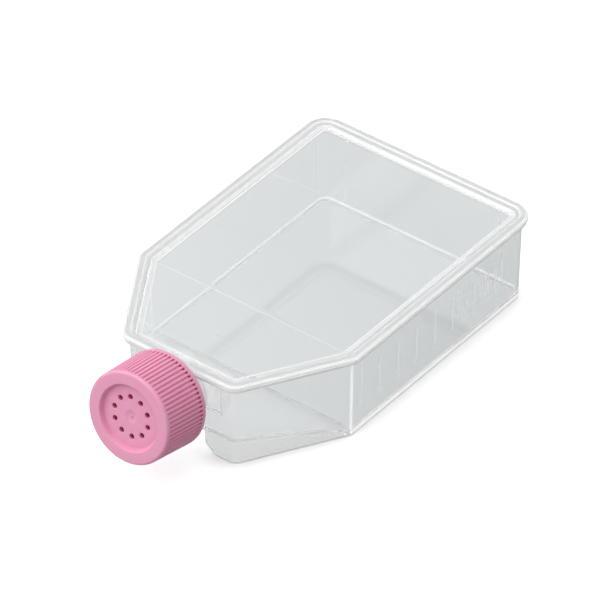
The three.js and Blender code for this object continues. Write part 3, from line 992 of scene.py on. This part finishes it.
def plastic_of(patch):
    """Which of the clear plastics a flat patch gets, by where it is, its slope and its width; all but
    CLEAR paint a highlight or glow.
    """
    members = set(patch)
    area = sum(face.calc_area() for face in patch) / MM**2
    outline = [edge for face in patch for edge in face.edges if not set(edge.link_faces) <= members]
    border = sum(edge.calc_length() for edge in outline) / MM
    heights = [vertex.co.z / MM for face in patch for vertex in face.verts]
    low, high = min(heights), max(heights)
    front = min(vertex.co.y for face in patch for vertex in face.verts) / MM - BACK_Y
    tilt = patch[0].normal.z
    if low > WELD_LOW and high < WELD_HIGH:
        return WELD
    if high < 0.05:
        return RIM
    if low > STEP_LOW and SLOPED < tilt < 0.97:
        return STEP if high > PANEL_TOP + 0.3 else CREASE_LINE
    upright = low < NECK_RECESS_LOW and all(abs(face.normal.z) < UPRIGHT for face in patch)
    if upright and low > 0.5 and high < FOOT_BAND + 0.1 and front > -SHOULDER - 1.0:
        return FLOOR_EDGE
    widest = UPRIGHT_EDGE_FACET if upright else EDGE_FACET
    if border == 0 or 2 * area / border >= widest:
        over_the_foot = 1.0 < high < WALL_HEIGHT - 1.0
        ahead = front < -SHOULDER + 3.0
        return RAMP if SLOPED < abs(tilt) < 0.99 and over_the_foot and ahead else CLEAR
    if low > RIM_LOW:
        return RIM
    return CORNER if upright else EDGE


def give_clear_plastic(obj, plastics):
    """Gives each flat patch of a clear mesh its own plastic, painting highlights on its edges, rims and
    joints.
    """
    for material in plastics:
        obj.data.materials.append(material)
    work = bmesh.new()
    work.from_mesh(obj.data)
    for patch in flat_patches(work):
        plastic = plastic_of(patch)
        for face in patch:
            face.material_index = plastic
    work.to_mesh(obj.data)
    work.free()


def pink_polyethylene():
    """Satin moulded polyethylene: a little light enters its ribs, and recesses get a painted shade of
    deeper pink.
    """
    material, nodes, links, shader = new_material("pink_polyethylene")
    cloud = add_noise(nodes, links, scale=180, detail=3)
    pink = add_colour_mix(nodes, links, cloud.outputs["Fac"], (0.77, 0.33, 0.49), (0.81, 0.37, 0.53))
    # Painted shade: ambient occlusion mixes in a deep pink in grooves and recesses, where shade falls.
    recess = nodes.new("ShaderNodeAmbientOcclusion")
    recess.inputs["Distance"].default_value = 0.0025
    painted_recess_shade = add_colour_mix(nodes, links, recess.outputs["AO"], (0.74, 0.13, 0.31))
    links.new(pink.outputs[MIX_RESULT], painted_recess_shade.inputs[MIX_HIGH])
    links.new(painted_recess_shade.outputs[MIX_RESULT], shader.inputs["Base Color"])
    shader.inputs["Specular IOR Level"].default_value = 0.3
    shader.inputs["Subsurface Weight"].default_value = 0.25
    shader.inputs["Subsurface Radius"].default_value = (1.0, 0.45, 0.6)
    shader.inputs["Subsurface Scale"].default_value = 0.0012
    grain = add_noise(nodes, links, scale=2600, detail=2)
    links.new(add_range(nodes, links, grain.outputs["Fac"], 0.3, 0.44), shader.inputs["Roughness"])
    add_bump(nodes, links, grain.outputs["Fac"], strength=0.2, distance=0.00003, shader=shader)
    return material


def filter_film():
    """Matt microporous film, painted a dark pink that stands for the shade behind the vent holes."""
    material, nodes, links, shader = new_material("filter_film")
    pores = add_noise(nodes, links, scale=4200, detail=4)
    # Painted shade: this dark pink is the shade in the holes, not the film's own colour.
    pink = add_colour_mix(nodes, links, pores.outputs["Fac"], (0.25, 0.05, 0.11), (0.35, 0.09, 0.16))
    links.new(pink.outputs[MIX_RESULT], shader.inputs["Base Color"])
    links.new(add_range(nodes, links, pores.outputs["Fac"], 0.8, 0.95), shader.inputs["Roughness"])
    shader.inputs["Specular IOR Level"].default_value = 0.1
    add_bump(nodes, links, pores.outputs["Fac"], strength=0.3, distance=0.00004, shader=shader)
    return material


def frosted_styrene_painted_glow():
    """The fine frosting of the raised volume lines, with a painted glow like that of the edges."""
    material, nodes, links, shader = new_material("frosted_styrene_painted_glow")
    shader.inputs["Base Color"].default_value = (0.95, 0.96, 0.96, 1)
    shader.inputs["IOR"].default_value = STYRENE_IOR
    shader.inputs["Emission Color"].default_value = (1, 1, 1, 1)
    # Painted glow: the lines give off a little light of their own.
    shader.inputs["Emission Strength"].default_value = 0.23
    grain = add_noise(nodes, links, scale=3000, detail=2)
    links.new(add_range(nodes, links, grain.outputs["Fac"], 0.45, 0.6), shader.inputs["Roughness"])
    add_bump(nodes, links, grain.outputs["Fac"], strength=0.4, distance=0.00005, shader=shader)
    return material


# ------------------------------------------------------------------ floor, light and camera


def by_ray(nodes, links, camera, reflected, refracted, other):
    """A value that depends on the kind of ray that asks for it.

    A refracted ray counts as glossy as well, so its part is what it has beyond a reflected one.
    """
    path = nodes.new("ShaderNodeLightPath")
    parts = (
        ("Camera", camera - other),
        ("Glossy", reflected - other),
        ("Transmission", refracted - reflected),
    )
    total = None
    for name, part in parts:
        add = nodes.new("ShaderNodeMath")
        add.operation = "MULTIPLY_ADD"
        links.new(path.outputs[f"Is {name} Ray"], add.inputs[0])
        add.inputs[1].default_value = part
        add.inputs[2].default_value = other
        if total is not None:
            links.new(total, add.inputs[2])
        total = add.outputs[0]
    return total


# Lengths from here on are in metres.
# The painted glow on the table, brighter towards the key lamp's side.
TOWARDS_KEY = (-0.7, -0.7, 0)
GLOW_REACH = 0.06  # from the middle to where the glow is full
GLOW_FAR_SIDE, GLOW_KEY_SIDE = 0.93, 1.09


def painted_key_side_glow(nodes, links):
    """A painted pool of light: the table is a little brighter towards the key lamp, as seen by all but
    the camera.
    """
    place = nodes.new("ShaderNodeTexCoord")
    across = nodes.new("ShaderNodeVectorMath")
    across.operation = "DOT_PRODUCT"
    links.new(place.outputs["Object"], across.inputs[0])
    across.inputs[1].default_value = TOWARDS_KEY
    glow = nodes.new("ShaderNodeMapRange")
    glow.inputs["From Min"].default_value = -GLOW_REACH
    glow.inputs["From Max"].default_value = GLOW_REACH
    glow.inputs["To Min"].default_value = GLOW_FAR_SIDE
    glow.inputs["To Max"].default_value = GLOW_KEY_SIDE
    links.new(across.outputs["Value"], glow.inputs["Value"])
    return glow.outputs["Result"]


FLOOR_HALF = 3.0
FLOOR_DROP = 0.0002
CONTACT_SHADE = 0.007  # how far from the flask the camera sees a painted contact shadow on the floor


def make_floor():
    """A table that the camera sees white; plastic and reflections show it darker.

    That darker table is what gives the clear flats their grey. Near the flask the camera sees a painted
    contact shadow; other rays see a painted glow towards the key lamp.
    """
    mesh = bpy.data.meshes.new("floor")
    half = FLOOR_HALF
    corners = [(-half, -half, 0), (half, -half, 0), (half, half, 0), (-half, half, 0)]
    mesh.from_pydata(corners, [], [(0, 1, 2, 3)])
    floor = bpy.data.objects.new("floor", mesh)
    bpy.context.scene.collection.objects.link(floor)
    floor.location.z = -FLOOR_DROP
    material, nodes, links, shader = new_material("floor_white")
    white = by_ray(nodes, links, camera=0.9, reflected=0.35, refracted=0.07, other=0.38)
    links.new(white, shader.inputs["Base Color"])
    shader.inputs["Roughness"].default_value = 1
    shader.inputs["Specular IOR Level"].default_value = 0
    lift = by_ray(nodes, links, camera=0.52, reflected=0.08, refracted=0.65, other=0)
    links.new(lift, shader.inputs["Emission Strength"])
    path = nodes.new("ShaderNodeLightPath")
    # Painted contact shadow: for camera rays, ambient occlusion darkens the floor's glow near the flask.
    near = nodes.new("ShaderNodeAmbientOcclusion")
    near.inputs["Distance"].default_value = CONTACT_SHADE
    shade = nodes.new("ShaderNodeMix")
    links.new(path.outputs["Is Camera Ray"], shade.inputs["Factor"])
    links.new(painted_key_side_glow(nodes, links), shade.inputs["A"])
    links.new(near.outputs["AO"], shade.inputs["B"])
    links.new(shade.outputs["Result"], shader.inputs["Emission Color"])
    mesh.materials.append(material)


WORLD_DIFFUSE, WORLD_DIRECT = 0.55, 1.0


def make_world():
    """White all round. It lights diffuse surfaces less than it shows in and through the plastic."""
    world = bpy.data.worlds.new("studio")
    world.use_nodes = True
    bpy.context.scene.world = world
    nodes, links = world.node_tree.nodes, world.node_tree.links
    background = nodes["Background"]
    background.inputs["Color"].default_value = (1, 1, 1, 1)
    # The level is the same all round, but read by direction: Cycles then samples the world as a lamp.
    place = nodes.new("ShaderNodeTexCoord")
    split = nodes.new("ShaderNodeSeparateXYZ")
    links.new(place.outputs["Generated"], split.inputs[0])
    all_round = add_range(nodes, links, split.outputs["Z"], WORLD_DIRECT, WORLD_DIRECT)
    direct = by_ray(nodes, links, camera=1, reflected=1, refracted=1, other=0)
    level = nodes.new("ShaderNodeMix")
    level.inputs["A"].default_value = WORLD_DIFFUSE
    links.new(direct, level.inputs["Factor"])
    links.new(all_round, level.inputs["B"])
    links.new(level.outputs["Result"], background.inputs["Strength"])


def make_lamp(name, direction, distance, size, power):
    """A round lamp, aimed at the middle of the part."""
    data = bpy.data.lights.new(name, "AREA")
    data.shape = "DISK"
    data.size = size
    data.energy = power
    lamp = bpy.data.objects.new(name, data)
    bpy.context.scene.collection.objects.link(lamp)
    place = Vector(direction).normalized() * distance
    lamp.location = place
    lamp.rotation_euler = (-place).to_track_quat("-Z", "Y").to_euler()


VIEW_DIRECTION = (-0.48115, 0.61914, -0.62061)
VIEW_DISTANCE = 2.637
VIEW_ROLL_DEGREES = -0.205
LENS = 480
# In millimetres, from the floor under the middle of the flask's back edge.
AIM_ACROSS, AIM_AHEAD, AIM_UP = -6.36, 61.85, 10.59


def make_camera():
    """Far off with a long lens, looking down at the cap end and the graduated side."""
    data = bpy.data.cameras.new("camera")
    data.lens = LENS
    data.sensor_width = 36
    data.clip_end = 20
    camera = bpy.data.objects.new("camera", data)
    bpy.context.scene.collection.objects.link(camera)
    forward = Vector(VIEW_DIRECTION).normalized()
    aim = Vector((AIM_ACROSS, BACK_Y - AIM_AHEAD, AIM_UP)) * MM
    camera.location = aim - forward * VIEW_DISTANCE
    turn = forward.to_track_quat("-Z", "Y").to_matrix().to_4x4()
    roll = Matrix.Rotation(math.radians(VIEW_ROLL_DEGREES), 4, "Z")
    camera.rotation_euler = (turn @ roll).to_euler()
    bpy.context.scene.camera = camera


# ------------------------------------------------------------------ scene

FLAT_TINT = (0.96, 0.979, 0.984)
# Near-white tint of the plastics that paint highlights on edges, rims, steps and lines.
PAINTED_HIGHLIGHT_TINT = (0.99, 0.995, 0.995)
WELD_TINT = (0.61, 0.615, 0.62)

# In the order of the places named above plastic_of. All but the first carry painted light: a glow, and
# most are also less clear and whiter, painted highlights.
plastics = (
    clear_styrene("clear_styrene", FLAT_TINT, haze=0.015, clearness=1.0, edge_light=0),
    clear_styrene("rim_painted_highlight", PAINTED_HIGHLIGHT_TINT, haze=0.03, clearness=0.4, edge_light=0.05),
    clear_styrene("rounded_edge_painted_highlight", PAINTED_HIGHLIGHT_TINT, haze=0.03, clearness=0.35, edge_light=0.12),
    clear_styrene("welded_joint_with_painted_glow", WELD_TINT, haze=0.3, clearness=0.25, edge_light=0.18),
    clear_styrene("rim_step_painted_highlight", PAINTED_HIGHLIGHT_TINT, haze=0.2, clearness=0.85, edge_light=0.09),
    clear_styrene("panel_crease_painted_glow", PAINTED_HIGHLIGHT_TINT, haze=0.05, clearness=1.0, edge_light=0.05),
    clear_styrene("floor_edge_painted_highlight", PAINTED_HIGHLIGHT_TINT, haze=0.1, clearness=0.6, edge_light=0.3),
    clear_styrene("ramp_painted_highlight", PAINTED_HIGHLIGHT_TINT, haze=0.2, clearness=0.85, edge_light=0.09),
    clear_styrene("upright_corner_painted_highlight", PAINTED_HIGHLIGHT_TINT, haze=0.1, clearness=0.6, edge_light=0.24),
)

body = make_flask_body()
give_clear_plastic(body, plastics)
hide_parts("flask_body")
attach(body, "flask")

plate = make_top_plate()
give_clear_plastic(plate, plastics)
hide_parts("top_plate")
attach(plate, "flask")

marks = make_graduations()
marks.data.materials.append(frosted_styrene_painted_glow())
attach(marks, "flask")

cap = make_cap()
cap.data.materials.append(pink_polyethylene())
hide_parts("vent_cap")
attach(cap, "cap")

film = make_membrane()
film.data.materials.append(filter_film())
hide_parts("vent_membrane")
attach(film, "cap_lifter")

make_floor()
make_world()
make_lamp("key", (-0.65, -0.85, 0.8), distance=1.6, size=1.6, power=16.5)
make_lamp("overhead", (0.0, 0.0, 1.0), distance=1.4, size=1.2, power=6)
make_camera()

scene = bpy.context.scene
scene.view_settings.view_transform = "Standard"
# Light that is guided along the clear walls bounces many times before it leaves them.
scene.cycles.max_bounces = 96
scene.cycles.transmission_bounces = 96
scene.cycles.glossy_bounces = 96
scene.cycles.diffuse_bounces = 32
